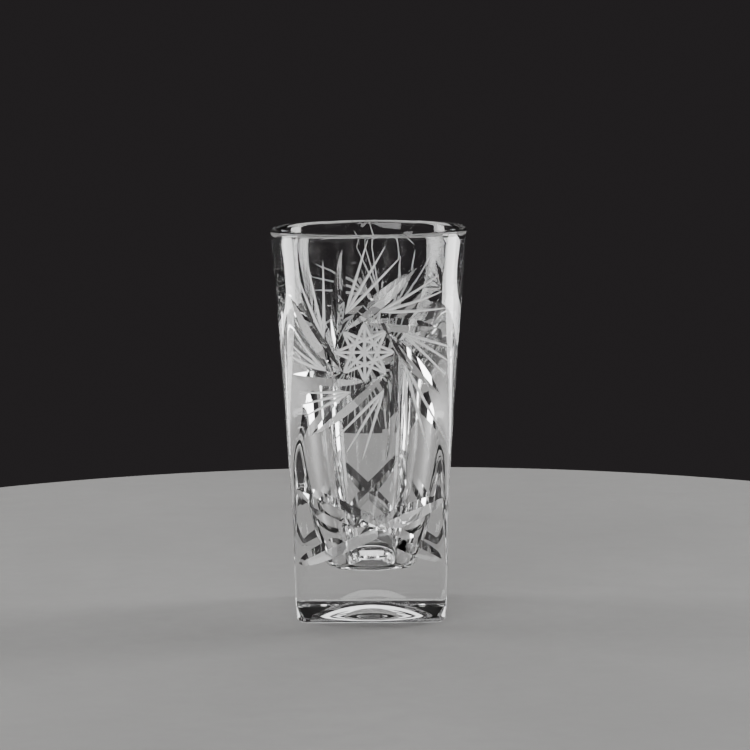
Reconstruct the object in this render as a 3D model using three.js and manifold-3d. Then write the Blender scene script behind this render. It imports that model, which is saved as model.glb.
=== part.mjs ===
// A cut crystal shot glass: one piece of glass with a heavy square foot, sides that soften into a nearly
// round rim, a round bowl, a shallow hollow under the foot, and wheel-cut mitres. Millimetres, +Z up,
// origin under the foot.
import * as THREE from "three";
import { mergeVertices } from "three/addons/utils/BufferGeometryUtils.js";
import Module from "manifold-3d";

// Outside: a square with tight corners at the foot, whose corners open into a nearly round upper part.
const HEIGHT = 86;
const RIM_HALF_WIDTH = 21.65; // from the axis to the middle of a side
const RIM_CORNER_RADIUS = 18.5;
const FOOT_HALF_WIDTH = 16.4;
const FOOT_CORNER_RADIUS = 2.3;
const CORNER_OPENING_START = 35; // the corners stay tight below this height
const CORNER_OPENING_END = 80; // and have their full radius above this one
const FOOT_EDGE_RADIUS = 1.8; // rounding where the sides meet the underside
const WAIST_HEIGHT = 35; // where the sides start to flare
const WAIST_HALF_WIDTH = 17.5;
const WAIST_BLEND = 12; // the flare starts over this much above and below the waist

// Bowl: round at every height, with an even wall that thickens towards its floor.
const SIDE_WALL = 1.6; // at the middles of the sides
const FLOOR_HEIGHT = 11;
const FLOOR_FLAT_RADIUS = 8;
const TOE_RISE = 1.8; // height of the rounded edge of the bowl's floor
const TOE_WALL = 6.4; // from the outside to the bowl at the top of that rounded edge
const THICKENING_TOP = 47; // the wall is even above this height
const THICKENING_POWER = 2.25;

// Hollow under the foot: a shallow cap of a sphere.
const PUNT_RADIUS = 13.5;
const PUNT_DEPTH = 3;

// Pinwheel: eight polished mitres that leave the points of a small star, all turning one way.
const PINWHEEL_BELOW_RIM = 25.5;
const PINWHEEL_SHIFT = -0.8; // from the middle of the side, to the left of someone facing it
const STAR_RADIUS = 6.5;
const ARM_LENGTHS = [24, 18.2, 16.3, 21.4, 22.5, 20.8, 16.4, 21.5]; // the first points down, the third right
const ARM_SWEEP = THREE.MathUtils.degToRad(5); // from square to the star's radius, back towards the star
const ARM_WIDTH = 3.3;
const ARM_DEPTH = 0.95;
const DECORATED_SIDES = [0, Math.PI]; // front and back, as turns about +Z

// Crossed mitres: low on each side one long cut falls to the right and one rises, and they cross as an X.
const CROSS_OVERRUN = 1.2; // how far both ends of a cut go round the corners
const FALLING_CUT_HEIGHT = 22.3; // in the middle of the side
const FALLING_CUT_DROP = 8; // from there to its right end
const RISING_CUT_HEIGHT = 20.9;
const RISING_CUT_RISE = 7.3;
const CROSS_WIDTH = 4.4;
const CROSS_DEPTH = 1.2;

// Steps that the curves are cut into.
const TURN_STEPS = 72;
const CORNER_CROWDING = 0.6; // from 0, evenly spaced steps, towards 1, nearly all of them at the corners
const SIDE_STEPS = 14;
const BOWL_STEPS = 11;
const EDGE_STEPS = 3;
const LIP_STEPS = 6;
const PUNT_STEPS = 4;
const CUT_STEPS = 12;
const CUT_SIDES = 4; // a cutter's section is a diamond, whose lower half is the mitre
const CUTTER_HEADROOM = 3; // how far the diamond's upper half stands clear of the glass

const LIP_RADIUS = SIDE_WALL / 2;
const LIP_HEIGHT = HEIGHT - LIP_RADIUS;
const TOE_HEIGHT = FLOOR_HEIGHT + TOE_RISE;
const QUARTER_TURN = Math.PI / 2;

// Half the width across the sides at a height: two straight tapers with a smooth bend at the waist.
function halfWidthAt(z) {
  const lowerSlope = (WAIST_HALF_WIDTH - FOOT_HALF_WIDTH) / WAIST_HEIGHT;
  const upperSlope = (RIM_HALF_WIDTH - WAIST_HALF_WIDTH) / (LIP_HEIGHT - WAIST_HEIGHT);
  const past = z - WAIST_HEIGHT;
  if (past > WAIST_BLEND) return WAIST_HALF_WIDTH + upperSlope * past;
  const taper = WAIST_HALF_WIDTH + lowerSlope * past;
  if (past < -WAIST_BLEND) return taper;
  return taper + ((upperSlope - lowerSlope) * (past + WAIST_BLEND) ** 2) / (4 * WAIST_BLEND);
}

function cornerRadiusAt(z) {
  const opening = THREE.MathUtils.smoothstep(z, CORNER_OPENING_START, CORNER_OPENING_END);
  return THREE.MathUtils.lerp(FOOT_CORNER_RADIUS, RIM_CORNER_RADIUS, opening);
}

// Distance from the axis to a square outline with rounded corners, at an angle from the middle of a side.
function outlineRadius(angle, halfWidth, cornerRadius) {
  const fromSide = Math.abs(angle - QUARTER_TURN * Math.round(angle / QUARTER_TURN));
  const cornerCentre = halfWidth - cornerRadius;
  if (halfWidth * Math.tan(fromSide) <= cornerCentre) return halfWidth / Math.cos(fromSide);
  const along = cornerCentre * (Math.cos(fromSide) + Math.sin(fromSide));
  return along + Math.sqrt(along ** 2 - 2 * cornerCentre ** 2 + cornerRadius ** 2);
}

function bowlRadiusAt(z) {
  const thickening = Math.max(0, (THICKENING_TOP - z) / (THICKENING_TOP - TOE_HEIGHT));
  return halfWidthAt(z) - SIDE_WALL - (TOE_WALL - SIDE_WALL) * thickening ** THICKENING_POWER;
}

// Points of the half section, from the axis under the foot, up the outside, over the lip and down the
// bowl back to the axis. Each keeps the corner radius of its ring; a round ring has none.
function sectionPoints() {
  const points = [];
  const add = (x, z, cornerRadius) => points.push({ x, z, cornerRadius: cornerRadius ?? x });

  const puntSphere = (PUNT_RADIUS ** 2 + PUNT_DEPTH ** 2) / (2 * PUNT_DEPTH);
  for (let i = 0; i <= PUNT_STEPS; i++) {
    const x = (PUNT_RADIUS * i) / PUNT_STEPS;
    add(x, PUNT_DEPTH - puntSphere + Math.sqrt(puntSphere ** 2 - x ** 2));
  }

  const footCorner = cornerRadiusAt(FOOT_EDGE_RADIUS);
  for (let i = 0; i < EDGE_STEPS; i++) {
    const turn = (QUARTER_TURN * i) / EDGE_STEPS;
    const inset = FOOT_EDGE_RADIUS * (1 - Math.sin(turn));
    const z = FOOT_EDGE_RADIUS * (1 - Math.cos(turn));
    add(halfWidthAt(FOOT_EDGE_RADIUS) - inset, z, footCorner - inset);
  }
  for (let i = 0; i < SIDE_STEPS; i++) {
    const z = THREE.MathUtils.lerp(FOOT_EDGE_RADIUS, LIP_HEIGHT, i / SIDE_STEPS);
    add(halfWidthAt(z), z, cornerRadiusAt(z));
  }

  for (let i = 0; i <= LIP_STEPS; i++) {
    const turn = (Math.PI * i) / LIP_STEPS;
    const x = RIM_HALF_WIDTH - LIP_RADIUS * (1 - Math.cos(turn));
    const cornerRadius = THREE.MathUtils.lerp(RIM_CORNER_RADIUS, RIM_HALF_WIDTH - SIDE_WALL, i / LIP_STEPS);
    add(x, LIP_HEIGHT + LIP_RADIUS * Math.sin(turn), cornerRadius);
  }
  for (let i = 1; i < BOWL_STEPS; i++) {
    const z = THREE.MathUtils.lerp(LIP_HEIGHT, TOE_HEIGHT, i / BOWL_STEPS);
    add(bowlRadiusAt(z), z);
  }
  const toe = new THREE.QuadraticBezierCurve(
    new THREE.Vector2(bowlRadiusAt(TOE_HEIGHT), TOE_HEIGHT),
    new THREE.Vector2(bowlRadiusAt(FLOOR_HEIGHT), FLOOR_HEIGHT),
    new THREE.Vector2(FLOOR_FLAT_RADIUS, FLOOR_HEIGHT),
  );
  for (const point of toe.getPoints(EDGE_STEPS)) add(point.x, point.y);
  add(0, FLOOR_HEIGHT);
  return points;
}

// The uncut glass: a turned shape whose outer rings are then drawn out into rounded squares.
function blankGeometry() {
  const section = sectionPoints();
  const profile = section.map((point) => new THREE.Vector2(point.x, point.z));
  const blank = new THREE.LatheGeometry(profile, TURN_STEPS);
  const position = blank.getAttribute("position");
  for (let i = 0; i < position.count; i++) {
    const ring = section[i % section.length];
    const step = Math.floor(i / section.length) % TURN_STEPS;
    const evenAngle = (2 * Math.PI * step) / TURN_STEPS;
    const angle = evenAngle + (CORNER_CROWDING * Math.sin(4 * evenAngle)) / 4;
    const radius = outlineRadius(angle, ring.x, ring.cornerRadius);
    position.setXYZ(i, radius * Math.sin(angle), -radius * Math.cos(angle), ring.z);
  }
  return blank;
}

// A point of the uncut outside, at an angle round from the middle of the front, -Y.
function outsidePoint(angle, z) {
  const radius = outlineRadius(angle, halfWidthAt(z), cornerRadiusAt(z));
  return new THREE.Vector3(radius * Math.sin(angle), -radius * Math.cos(angle), z);
}

function outsideNormal(angle, z) {
  const nudge = 0.01;
  const around = outsidePoint(angle + nudge, z).sub(outsidePoint(angle - nudge, z));
  const up = outsidePoint(angle, z + nudge).sub(outsidePoint(angle, z - nudge));
  return around.cross(up).normalize();
}

// The angle reached by going a length round the outside from the middle of a side, at a height.
function angleAlong(length, z) {
  const corner = cornerRadiusAt(z);
  const flat = halfWidthAt(z) - corner;
  const onCorner = Math.max(0, Math.abs(length) - flat) / corner;
  const aside = Math.min(Math.abs(length), flat) + corner * Math.sin(onCorner);
  return Math.sign(length) * Math.atan2(aside, flat + corner * Math.cos(onCorner));
}

// How wide and deep a cut is along its length, against its widest. A leaf is widest halfway. A long leaf
// keeps most of its width almost to its ends.
const leaf = (t) => 4 * t * (1 - t);
const longLeaf = (t) => Math.sqrt(1 - (2 * t - 1) ** 4);

// A cutter that follows the outside. route(t) gives its angle and height from t = 0 to 1. Its section is
// a diamond, and it comes to a point at both ends.
function mitreCutter(route, width, depth, swell) {
  const spindle = [];
  for (let i = 0; i <= CUT_STEPS; i++) {
    spindle.push(new THREE.Vector2(swell(i / CUT_STEPS), i / CUT_STEPS));
  }
  const cutter = new THREE.LatheGeometry(spindle, CUT_SIDES);
  const position = cutter.getAttribute("position");
  const placeAt = (t) => outsidePoint(...route(t));
  for (let i = 0; i < position.count; i++) {
    const t = position.getY(i);
    const ahead = placeAt(t + 0.01).sub(placeAt(t - 0.01)).normalize();
    const outward = outsideNormal(...route(t));
    const sideways = ahead.clone().cross(outward);
    const rise = position.getZ(i);
    const point = placeAt(t)
      .addScaledVector(sideways, (position.getX(i) * width) / 2)
      .addScaledVector(outward, rise * (rise > 0 ? CUTTER_HEADROOM : depth));
    position.setXYZ(i, point.x, point.y, point.z);
  }
  return cutter;
}

function pinwheelCutters(sideTurn) {
  const centreHeight = HEIGHT - PINWHEEL_BELOW_RIM;
  return ARM_LENGTHS.map((armLength, k) => {
    const spoke = (2 * Math.PI * k) / ARM_LENGTHS.length;
    const heading = spoke - QUARTER_TURN - ARM_SWEEP;
    const route = (t) => {
      const right = PINWHEEL_SHIFT + STAR_RADIUS * Math.cos(spoke) + armLength * t * Math.cos(heading);
      const z = centreHeight + STAR_RADIUS * Math.sin(spoke) + armLength * t * Math.sin(heading);
      return [sideTurn + angleAlong(right, z), z];
    };
    return mitreCutter(route, ARM_WIDTH, ARM_DEPTH, leaf);
  });
}

function crossCutters() {
  const cutters = [];
  for (let side = 0; side < 4; side++) {
    const crossRoute = (height, rise) => (t) => {
      const reach = halfWidthAt(height) - cornerRadiusAt(height) + CROSS_OVERRUN;
      const across = 2 * t - 1;
      return [side * QUARTER_TURN + angleAlong(reach * across, height), height + rise * across];
    };
    const falling = crossRoute(FALLING_CUT_HEIGHT, -FALLING_CUT_DROP);
    const rising = crossRoute(RISING_CUT_HEIGHT, RISING_CUT_RISE);
    cutters.push(mitreCutter(falling, CROSS_WIDTH, CROSS_DEPTH, longLeaf));
    cutters.push(mitreCutter(rising, CROSS_WIDTH, CROSS_DEPTH, longLeaf));
  }
  return cutters;
}

const wasm = await Module();
wasm.setup();

function solidOf(geometry) {
  const bare = geometry.clone();
  bare.deleteAttribute("normal");
  bare.deleteAttribute("uv");
  const merged = mergeVertices(bare, 1e-4);
  return new wasm.Manifold(
    new wasm.Mesh({
      numProp: 3,
      vertProperties: merged.getAttribute("position").array,
      triVerts: new Uint32Array(merged.index.array),
    }),
  );
}

function geometryOf(solid) {
  const mesh = solid.getMesh();
  const geometry = new THREE.BufferGeometry();
  geometry.setAttribute("position", new THREE.BufferAttribute(mesh.vertProperties, 3));
  geometry.setIndex(new THREE.BufferAttribute(mesh.triVerts, 1));
  geometry.computeVertexNormals();
  return geometry;
}

const cutters = [...DECORATED_SIDES.flatMap(pinwheelCutters), ...crossCutters()];
const blank = solidOf(blankGeometry());
const cutGlass = cutters.reduce((glass, cutter) => glass.subtract(solidOf(cutter)), blank);

const crystal = new THREE.MeshStandardMaterial({
  name: "crystal",
  color: 0xf2f6f7,
  roughness: 0.02,
  metalness: 0,
  transparent: true,
  opacity: 0.35,
});

const glassBody = new THREE.Mesh(geometryOf(cutGlass), crystal);
glassBody.name = "glass_body";

const shotGlass = new THREE.Group();
shotGlass.add(glassBody);

export default shotGlass;
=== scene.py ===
import math

import bmesh
import bpy
from mathutils import Matrix, Vector


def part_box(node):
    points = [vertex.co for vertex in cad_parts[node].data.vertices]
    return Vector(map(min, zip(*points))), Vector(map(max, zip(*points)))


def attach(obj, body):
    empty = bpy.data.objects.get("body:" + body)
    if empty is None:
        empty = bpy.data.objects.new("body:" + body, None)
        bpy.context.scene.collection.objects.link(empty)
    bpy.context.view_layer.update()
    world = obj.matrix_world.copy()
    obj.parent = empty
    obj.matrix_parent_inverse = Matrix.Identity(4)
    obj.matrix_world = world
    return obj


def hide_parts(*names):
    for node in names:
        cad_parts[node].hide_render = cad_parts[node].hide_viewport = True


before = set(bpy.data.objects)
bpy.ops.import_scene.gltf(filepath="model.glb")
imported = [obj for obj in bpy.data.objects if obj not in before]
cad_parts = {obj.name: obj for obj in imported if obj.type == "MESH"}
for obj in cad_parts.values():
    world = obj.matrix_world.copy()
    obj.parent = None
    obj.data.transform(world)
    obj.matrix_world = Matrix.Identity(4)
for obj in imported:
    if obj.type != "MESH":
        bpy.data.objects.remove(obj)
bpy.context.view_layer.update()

# A cut crystal shot glass. It is one piece of glass: a turned and squared blank with a round bowl,
# ground with polished mitres and fine matte lines. Metres, +Z up, -Y is the front.

MM = 0.001
top_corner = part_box("glass_body")[1]

# Blank
HEIGHT = top_corner.z
RIM_HALF_WIDTH = top_corner.x
RIM_CORNER_RADIUS = 18.5 * MM
FOOT_HALF_WIDTH = 16.4 * MM
FOOT_CORNER_RADIUS = 2.3 * MM
CORNER_OPENING_START = 35 * MM
CORNER_OPENING_END = 80 * MM
FOOT_EDGE_RADIUS = 1.8 * MM
WAIST_HEIGHT = 35 * MM
WAIST_HALF_WIDTH = 17.5 * MM
WAIST_BLEND = 12 * MM

# Bowl
SIDE_WALL = 1.6 * MM
FLOOR_HEIGHT = 11 * MM
FLOOR_FLAT_RADIUS = 8 * MM
TOE_RISE = 1.8 * MM
TOE_WALL = 6.4 * MM
THICKENING_TOP = 47 * MM
THICKENING_POWER = 2.25

# Hollow under the foot
PUNT_RADIUS = 13.5 * MM
PUNT_DEPTH = 3 * MM

# Pinwheel
PINWHEEL_BELOW_RIM = 25.5 * MM
PINWHEEL_SHIFT = -0.8 * MM
POINT_COUNT = 8
STAR_RADIUS = 6.5 * MM
STAR_LINE_WIDTH = 0.62 * MM
STAR_LINE_DEPTH = 0.16 * MM
STAR_SKIP = 3
ARM_LENGTHS = [length * MM for length in (24, 18.2, 16.3, 21.4, 22.5, 20.8, 16.4, 21.5)]
ARM_SWEEP = math.radians(5)
ARM_WIDTH = 3.3 * MM
ARM_DEPTH = 0.95 * MM
FAN_START_RADIUS = 9.2 * MM
FAN_START_TURN = math.radians(18.5)
FAN_HEADINGS = [math.radians(turn) for turn in (62.3, 75.8, 89.3)]
FAN_LENGTHS = [length * MM for length in (19.8, 13.8, 16.6, 17.4, 17.2, 11.8, 11.6, 16.3)]
FAN_LINE_WIDTH = 0.8 * MM
FAN_LINE_DEPTH = 0.22 * MM
DECORATED_SIDES = (0, math.pi)

# Crossed mitres low on every side
CROSS_OVERRUN = 1.2 * MM
CROSS_HEIGHTS = (22.3 * MM, 20.9 * MM)
CROSS_RISES = (-8 * MM, 7.3 * MM)
CROSS_WIDTH = 4.4 * MM
CROSS_DEPTH = 1.2 * MM

CRYSTAL_IOR = 1.545

# Studio
FLOOR_RADIUS = 200 * MM
FLOOR_TINT = (0.26, 0.256, 0.252)
ROOM_TINT = (0.02, 0.018, 0.019)
LAMP_AIM_HEIGHT = 50 * MM

# Camera, turned about the glass from the front
CAMERA_TURN = math.radians(1)
CAMERA_DISTANCE = 650 * MM
CAMERA_HEIGHT = 137 * MM
CAMERA_ASIDE = 1.07 * MM
CAMERA_AIM_HEIGHT = 53 * MM
CAMERA_LEAN = math.radians(-0.54)
CAMERA_LENS = 141.3
CAMERA_FRAME_WIDTH = 36

# Steps of the mesh, those round it crowded towards the corners
TURN_STEPS = 240
CORNER_CROWDING = 0.6
SIDE_STEPS = 44
BOWL_STEPS = 44
EDGE_STEPS = 8
LIP_STEPS = 16
PUNT_STEPS = 12
CUT_STEPS = 36
LINE_STEPS = 16
SHARP_ANGLE = math.radians(24)

# Cutters: what stands clear of the glass, and the part of a fine line over which it deepens
CUTTER_HEADROOM = 3 * MM
LINE_RUN_IN = 0.06
TAPER_RUN_IN = 0.2

LIP_RADIUS = SIDE_WALL / 2
LIP_HEIGHT = HEIGHT - LIP_RADIUS
TOE_HEIGHT = FLOOR_HEIGHT + TOE_RISE
QUARTER_TURN = math.pi / 2


def half_width_at(z):
    lower_slope = (WAIST_HALF_WIDTH - FOOT_HALF_WIDTH) / WAIST_HEIGHT
    upper_slope = (RIM_HALF_WIDTH - WAIST_HALF_WIDTH) / (LIP_HEIGHT - WAIST_HEIGHT)
    past = z - WAIST_HEIGHT
    if past > WAIST_BLEND:
        return WAIST_HALF_WIDTH + upper_slope * past
    below = WAIST_HALF_WIDTH + lower_slope * past
    if past < -WAIST_BLEND:
        return below
    return below + (upper_slope - lower_slope) * (past + WAIST_BLEND) ** 2 / (4 * WAIST_BLEND)


def corner_radius_at(z):
    t = min(1, max(0, (z - CORNER_OPENING_START) / (CORNER_OPENING_END - CORNER_OPENING_START)))
    return FOOT_CORNER_RADIUS + (RIM_CORNER_RADIUS - FOOT_CORNER_RADIUS) * t * t * (3 - 2 * t)


def outline_radius(angle, half_width, corner_radius):
    """Distance from the axis to a rounded square, at an angle from the middle of a side."""
    from_side = abs(angle - QUARTER_TURN * round(angle / QUARTER_TURN))
    corner_centre = half_width - corner_radius
    if half_width * math.tan(from_side) <= corner_centre:
        return half_width / math.cos(from_side)
    along = corner_centre * (math.cos(from_side) + math.sin(from_side))
    return along + math.sqrt(max(0, along ** 2 - 2 * corner_centre ** 2 + corner_radius ** 2))


def bowl_radius_at(z):
    thickening = max(0, (THICKENING_TOP - z) / (THICKENING_TOP - TOE_HEIGHT))
    return half_width_at(z) - SIDE_WALL - (TOE_WALL - SIDE_WALL) * thickening ** THICKENING_POWER


def section_points():
    """(x, z, corner radius) up the outside, over the lip and down the bowl, from axis to axis."""
    points = []
    punt_sphere = (PUNT_RADIUS ** 2 + PUNT_DEPTH ** 2) / (2 * PUNT_DEPTH)
    for i in range(PUNT_STEPS + 1):
        x = PUNT_RADIUS * i / PUNT_STEPS
        points.append((x, PUNT_DEPTH - punt_sphere + math.sqrt(punt_sphere ** 2 - x ** 2), x))
    foot_corner = corner_radius_at(FOOT_EDGE_RADIUS)
    for i in range(EDGE_STEPS):
        turn = QUARTER_TURN * i / EDGE_STEPS
        inset = FOOT_EDGE_RADIUS * (1 - math.sin(turn))
        z = FOOT_EDGE_RADIUS * (1 - math.cos(turn))
        points.append((half_width_at(FOOT_EDGE_RADIUS) - inset, z, foot_corner - inset))
    for i in range(SIDE_STEPS):
        z = FOOT_EDGE_RADIUS + (LIP_HEIGHT - FOOT_EDGE_RADIUS) * i / SIDE_STEPS
        points.append((half_width_at(z), z, corner_radius_at(z)))
    for i in range(LIP_STEPS + 1):
        turn = math.pi * i / LIP_STEPS
        inset = LIP_RADIUS * (1 - math.cos(turn))
        z = LIP_HEIGHT + LIP_RADIUS * math.sin(turn)
        corner_radius = RIM_CORNER_RADIUS + (RIM_HALF_WIDTH - SIDE_WALL - RIM_CORNER_RADIUS) * i / LIP_STEPS
        points.append((RIM_HALF_WIDTH - inset, z, corner_radius))
    for i in range(1, BOWL_STEPS):
        z = LIP_HEIGHT + (TOE_HEIGHT - LIP_HEIGHT) * i / BOWL_STEPS
        points.append((bowl_radius_at(z), z, bowl_radius_at(z)))
    toe_top = Vector((bowl_radius_at(TOE_HEIGHT), TOE_HEIGHT))
    toe_bend = Vector((bowl_radius_at(FLOOR_HEIGHT), FLOOR_HEIGHT))
    toe_end = Vector((FLOOR_FLAT_RADIUS, FLOOR_HEIGHT))
    for i in range(EDGE_STEPS + 1):
        t = i / EDGE_STEPS
        x, z = toe_top * (1 - t) ** 2 + toe_bend * 2 * t * (1 - t) + toe_end * t ** 2
        points.append((x, z, x))
    points.append((0, FLOOR_HEIGHT, 0))
    return points


def spun(bm, chain, steps):
    """Turns a chain of vertices full circle about Z into a closed shape that faces out."""
    for a, b in zip(chain, chain[1:]):
        bm.edges.new((a, b))
    bmesh.ops.spin(
        bm, geom=bm.verts[:] + bm.edges[:], cent=(0, 0, 0), axis=(0, 0, 1), dvec=(0, 0, 0),
        angle=2 * math.pi, steps=steps, use_merge=True,
    )
    bmesh.ops.remove_doubles(bm, verts=bm.verts, dist=1e-7)
    bmesh.ops.recalc_face_normals(bm, faces=bm.faces)


def finished_mesh(bm, name):
    mesh = bpy.data.meshes.new(name)
    bm.to_mesh(mesh)
    bm.free()
    made = bpy.data.objects.new(name, mesh)
    bpy.context.scene.collection.objects.link(made)
    return made


def glass_blank():
    """The uncut glass, turned and then drawn out into rounded squares on the outside."""
    bm = bmesh.new()
    corner = bm.verts.layers.float.new("corner_radius")
    chain = []
    for x, z, corner_radius in section_points():
        v = bm.verts.new((x, 0, z))
        v[corner] = corner_radius
        chain.append(v)
    spun(bm, chain, TURN_STEPS)
    for v in bm.verts:
        half_width = math.hypot(v.co.x, v.co.y)
        if half_width > 1e-6:
            angle = math.atan2(v.co.x, -v.co.y)
            angle += CORNER_CROWDING * math.sin(4 * angle) / 4
            radius = outline_radius(angle, half_width, min(v[corner], half_width))
            v.co.xy = radius * math.sin(angle), -radius * math.cos(angle)
    bm.verts.layers.float.remove(corner)
    return finished_mesh(bm, "cut_glass")


def outside_point(angle, z):
    radius = outline_radius(angle, half_width_at(z), corner_radius_at(z))
    return Vector((radius * math.sin(angle), -radius * math.cos(angle), z))


def outside_normal(angle, z):
    turn_nudge = 0.01
    rise_nudge = 0.1 * MM
    around = outside_point(angle + turn_nudge, z) - outside_point(angle - turn_nudge, z)
    up = outside_point(angle, z + rise_nudge) - outside_point(angle, z - rise_nudge)
    return around.cross(up).normalized()


def angle_along(length, z):
    """The angle reached by going a length round the outside from the middle of a side."""
    corner = corner_radius_at(z)
    flat = half_width_at(z) - corner
    on_corner = max(0, abs(length) - flat) / corner
    aside = min(abs(length), flat) + corner * math.sin(on_corner)
    return math.copysign(math.atan2(aside, flat + corner * math.cos(on_corner)), length)


def leaf(t):
    """Widest and deepest in the middle, and pointed at both ends."""
    return 4 * t * (1 - t)


def long_leaf(t):
    """Nearly even all along, and rounded at both ends."""
    return math.sqrt(1 - (2 * t - 1) ** 4) if 0 < t < 1 else 0


def taper(t):
    """Widest near the start, then down to a point."""
    return min(1, t / TAPER_RUN_IN) * math.sqrt(1 - t) if t < 1 else 0


def line(t):
    return min(1, t / LINE_RUN_IN, (1 - t) / LINE_RUN_IN)


def add_cutter(bm, route, width, depth, swell, steps):
    """A diamond-section spindle that follows route(t) over the outside; its lower half is the cut."""
    nudge = 0.01
    one = bmesh.new()
    chain = [one.verts.new((swell(i / steps), 0, i / steps)) for i in range(steps + 1)]
    spun(one, chain, 4)
    for v in one.verts:
        t = v.co.z
        here = outside_point(*route(t))
        ahead = (outside_point(*route(t + nudge)) - outside_point(*route(t - nudge))).normalized()
        outward = outside_normal(*route(t))
        sideways = ahead.cross(outward)
        rise = v.co.y * (CUTTER_HEADROOM if v.co.y > 0 else depth)
        v.co = here + sideways * (v.co.x * width / 2) + outward * rise
    # A spindle that is inside out would raise a ridge instead of cutting a groove.
    if one.calc_volume(signed=True) < 0:
        bmesh.ops.reverse_faces(one, faces=one.faces)
    whole = bpy.data.meshes.new("one_cutter")
    one.to_mesh(whole)
    one.free()
    bm.from_mesh(whole)
    bpy.data.meshes.remove(whole)


def straight_route(side, start, direction, length):
    """A straight line on the side as it would lie unrolled, from start, right and up from the middle."""
    centre_height = HEIGHT - PINWHEEL_BELOW_RIM

    def route(t):
        right = PINWHEEL_SHIFT + start.x + direction.x * length * t
        z = centre_height + start.y + direction.y * length * t
        return side + angle_along(right, z), z

    return route


def on_circle(radius, angle):
    return Vector((math.cos(angle), math.sin(angle))) * radius


def cut(glass, routes, width, depth, swell, steps, material):
    """Cuts routes that don't meet each other out of the glass, in one go."""
    bm = bmesh.new()
    for route in routes:
        add_cutter(bm, route, width, depth, swell, steps)
    cutter = finished_mesh(bm, "cutter")
    cutter.data.materials.append(material)
    modifier = glass.modifiers.new("cut", "BOOLEAN")
    modifier.operation = "DIFFERENCE"
    modifier.solver = "MANIFOLD"
    modifier.object = cutter
    modifier.material_mode = "TRANSFER"
    depsgraph = bpy.context.evaluated_depsgraph_get()
    result = bpy.data.meshes.new_from_object(glass.evaluated_get(depsgraph), depsgraph=depsgraph)
    glass.modifiers.clear()
    glass.data = result
    bpy.data.meshes.remove(cutter.data)


def cut_crosses(glass, material):
    """On every side two long mitres cross and run out over the corners."""
    def cross_route(side, height, rise):
        reach = half_width_at(height) - corner_radius_at(height) + CROSS_OVERRUN

        def route(t):
            across = 2 * t - 1
            return side * QUARTER_TURN + angle_along(reach * across, height), height + rise * across

        return route

    for height, rise in zip(CROSS_HEIGHTS, CROSS_RISES):
        for sides in ((0, 2), (1, 3)):
            routes = [cross_route(side, height, rise) for side in sides]
            cut(glass, routes, CROSS_WIDTH, CROSS_DEPTH, long_leaf, CUT_STEPS, material)


def cut_pinwheels(glass, polished, matte):
    spokes = [2 * math.pi * k / POINT_COUNT for k in range(POINT_COUNT)]
    for first in (0, 1):
        routes = [
            straight_route(
                side, on_circle(STAR_RADIUS, spoke), on_circle(1, spoke - QUARTER_TURN - ARM_SWEEP), length)
            for side in DECORATED_SIDES
            for spoke, length in list(zip(spokes, ARM_LENGTHS))[first::2]
        ]
        cut(glass, routes, ARM_WIDTH, ARM_DEPTH, leaf, CUT_STEPS, polished)
    for heading in FAN_HEADINGS:
        routes = [
            straight_route(side, on_circle(FAN_START_RADIUS, spoke - FAN_START_TURN),
                           on_circle(1, spoke - heading), length)
            for side in DECORATED_SIDES
            for spoke, length in zip(spokes, FAN_LENGTHS)
        ]
        cut(glass, routes, FAN_LINE_WIDTH, FAN_LINE_DEPTH, taper, LINE_STEPS, matte)
    for k in range(POINT_COUNT):
        routes = []
        for side in DECORATED_SIDES:
            start = on_circle(STAR_RADIUS, spokes[k])
            across = on_circle(STAR_RADIUS, spokes[(k + STAR_SKIP) % POINT_COUNT]) - start
            routes.append(straight_route(side, start, across.normalized(), across.length))
        cut(glass, routes, STAR_LINE_WIDTH, STAR_LINE_DEPTH, line, LINE_STEPS, matte)
    for k in range(POINT_COUNT // 2):
        routes = []
        for side in DECORATED_SIDES:
            start = on_circle(STAR_RADIUS, spokes[k])
            routes.append(straight_route(side, start, -start.normalized(), 2 * STAR_RADIUS))
        cut(glass, routes, STAR_LINE_WIDTH, STAR_LINE_DEPTH, line, LINE_STEPS, matte)


def mottle_group():
    """A soft uneven value from 0 to 1 all over a surface, in cells of a size given in metres."""
    group = bpy.data.node_groups.new("mottle", "ShaderNodeTree")
    group.interface.new_socket("Cell Size", in_out="INPUT", socket_type="NodeSocketFloat")
    group.interface.new_socket("Stretch", in_out="INPUT", socket_type="NodeSocketVector")
    group.interface.new_socket("Mottle", in_out="OUTPUT", socket_type="NodeSocketFloat")
    nodes, links = group.nodes, group.links
    entry = nodes.new("NodeGroupInput")
    leave = nodes.new("NodeGroupOutput")
    place = nodes.new("ShaderNodeTexCoord")
    stretch = nodes.new("ShaderNodeVectorMath")
    stretch.operation = "MULTIPLY"
    scale = nodes.new("ShaderNodeMath")
    scale.operation = "DIVIDE"
    scale.inputs[0].default_value = 1
    noise = nodes.new("ShaderNodeTexNoise")
    noise.inputs["Detail"].default_value = 3
    links.new(place.outputs["Object"], stretch.inputs[0])
    links.new(entry.outputs["Stretch"], stretch.inputs[1])
    links.new(entry.outputs["Cell Size"], scale.inputs[1])
    links.new(stretch.outputs["Vector"], noise.inputs["Vector"])
    links.new(scale.outputs["Value"], noise.inputs["Scale"])
    links.new(noise.outputs["Fac"], leave.inputs["Mottle"])
    return group


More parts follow.
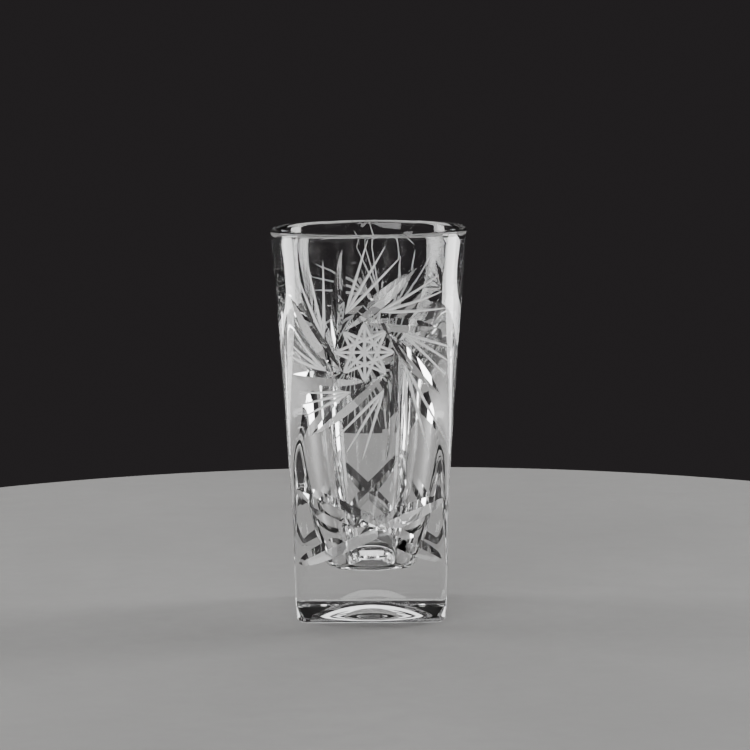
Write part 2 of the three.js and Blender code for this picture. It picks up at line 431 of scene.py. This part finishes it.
class Surface:
    """A material with its node tree, and short ways to shade it unevenly."""

    def __init__(self, name):
        self.material = bpy.data.materials.new(name)
        self.material.use_nodes = True
        self.nodes = self.material.node_tree.nodes
        self.links = self.material.node_tree.links
        self.shader = self.nodes["Principled BSDF"]

    def mottle(self, cell_size, stretch=(1, 1, 1)):
        node = self.nodes.new("ShaderNodeGroup")
        node.node_tree = mottle_nodes
        node.inputs["Cell Size"].default_value = cell_size
        node.inputs["Stretch"].default_value = stretch
        return node.outputs["Mottle"]

    def tint(self, value, low, high):
        ramp = self.nodes.new("ShaderNodeValToRGB")
        ramp.color_ramp.elements[0].position = 0.3
        ramp.color_ramp.elements[0].color = (*low, 1)
        ramp.color_ramp.elements[1].position = 0.7
        ramp.color_ramp.elements[1].color = (*high, 1)
        self.links.new(value, ramp.inputs["Fac"])
        self.links.new(ramp.outputs["Color"], self.shader.inputs["Base Color"])

    def roughen(self, value, low, high):
        span = self.nodes.new("ShaderNodeMapRange")
        span.inputs["From Min"].default_value = 0.35
        span.inputs["From Max"].default_value = 0.75
        span.inputs["To Min"].default_value = low
        span.inputs["To Max"].default_value = high
        self.links.new(value, span.inputs["Value"])
        self.links.new(span.outputs["Result"], self.shader.inputs["Roughness"])

    def ripple(self, value, strength, height):
        bump = self.nodes.new("ShaderNodeBump")
        bump.inputs["Strength"].default_value = strength
        bump.inputs["Distance"].default_value = height
        self.links.new(value, bump.inputs["Height"])
        self.links.new(bump.outputs["Normal"], self.shader.inputs["Normal"])

    def be_crystal(self, transmission):
        self.shader.inputs["IOR"].default_value = CRYSTAL_IOR
        self.shader.inputs["Transmission Weight"].default_value = transmission


def polished_crystal():
    """Clear lead glass with the faint waves that pressing and polishing leave, and a trace of wiping."""
    surface = Surface("polished_crystal")
    surface.be_crystal(1)
    surface.tint(surface.mottle(20 * MM), (0.985, 0.99, 0.99), (1, 1, 1))
    surface.roughen(surface.mottle(4 * MM, (1, 1, 0.3)), 0, 0.012)
    surface.ripple(surface.mottle(9 * MM, (1, 1, 0.5)), 0.4, 0.03 * MM)
    return surface.material


def ground_crystal():
    """Left matte by a stone wheel: white and grainy, barely see-through."""
    surface = Surface("ground_crystal")
    surface.be_crystal(0.1)
    surface.tint(surface.mottle(0.5 * MM), (0.86, 0.87, 0.87), (1, 1, 1))
    surface.roughen(surface.mottle(1.5 * MM), 0.45, 0.7)
    surface.ripple(surface.mottle(0.12 * MM), 0.4, 0.05 * MM)
    return surface.material


def pale_floor():
    surface = Surface("pale_floor")
    surface.tint(surface.mottle(60 * MM), [c * 0.93 for c in FLOOR_TINT], FLOOR_TINT)
    surface.roughen(surface.mottle(8 * MM), 0.55, 0.7)
    surface.ripple(surface.mottle(0.8 * MM), 0.1, 0.01 * MM)
    return surface.material


def shade(glass):
    glass.data.polygons.foreach_set("use_smooth", [True] * len(glass.data.polygons))
    glass.data.set_sharp_from_angle(angle=SHARP_ANGLE)


def add_floor():
    bm = bmesh.new()
    bmesh.ops.create_circle(bm, cap_ends=True, radius=FLOOR_RADIUS, segments=128)
    floor = finished_mesh(bm, "floor")
    floor.data.materials.append(pale_floor())


def add_softbox(name, degrees, distance, height, size, brightness):
    """A flat lamp that faces the glass, turned about it from the front towards its right."""
    turn = math.radians(degrees)
    data = bpy.data.lights.new(name, "AREA")
    data.shape = "RECTANGLE"
    data.size, data.size_y = size
    data.energy = brightness * math.pi * size[0] * size[1]
    lamp = bpy.data.objects.new(name, data)
    lamp.location = (distance * math.sin(turn), -distance * math.cos(turn), height)
    aim = Vector((0, 0, LAMP_AIM_HEIGHT))
    lamp.rotation_euler = (aim - lamp.location).to_track_quat("-Z", "Y").to_euler()
    lamp.visible_camera = False
    bpy.context.scene.collection.objects.link(lamp)


def add_world():
    world = bpy.data.worlds.new("studio")
    world.use_nodes = True
    world.node_tree.nodes["Background"].inputs["Color"].default_value = (*ROOM_TINT, 1)
    world.node_tree.nodes["Background"].inputs["Strength"].default_value = 1
    bpy.context.scene.world = world


def add_camera():
    data = bpy.data.cameras.new("camera")
    data.lens = CAMERA_LENS
    data.sensor_width = CAMERA_FRAME_WIDTH
    data.clip_start = 0.01
    camera = bpy.data.objects.new("camera", data)
    around = Matrix.Rotation(CAMERA_TURN, 4, "Z")
    place = around @ Vector((CAMERA_ASIDE, -CAMERA_DISTANCE, CAMERA_HEIGHT))
    aim = around @ Vector((CAMERA_ASIDE, 0, CAMERA_AIM_HEIGHT))
    facing = (aim - place).to_track_quat("-Z", "Y").to_matrix().to_4x4()
    lean = Matrix.Rotation(CAMERA_LEAN, 4, "Z")
    camera.matrix_world = Matrix.Translation(place) @ facing @ lean
    bpy.context.scene.collection.objects.link(camera)
    bpy.context.scene.camera = camera


mottle_nodes = mottle_group()
polished = polished_crystal()
ground = ground_crystal()
glass = glass_blank()
glass.data.materials.append(polished)
cut_crosses(glass, polished)
cut_pinwheels(glass, polished, ground)
shade(glass)
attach(glass, "root")
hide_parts("glass_body")

add_floor()
add_softbox("left_softbox", degrees=-105, distance=0.6, height=0.1, size=(0.22, 0.9), brightness=9)
add_softbox("right_softbox", degrees=112, distance=0.6, height=0.1, size=(0.22, 0.9), brightness=11)
add_softbox("back_softbox", degrees=180, distance=0.5, height=0.75, size=(1.1, 0.7), brightness=2)
add_softbox("front_softbox", degrees=-15, distance=0.9, height=0.5, size=(1.0, 0.6), brightness=5)
add_world()
add_camera()
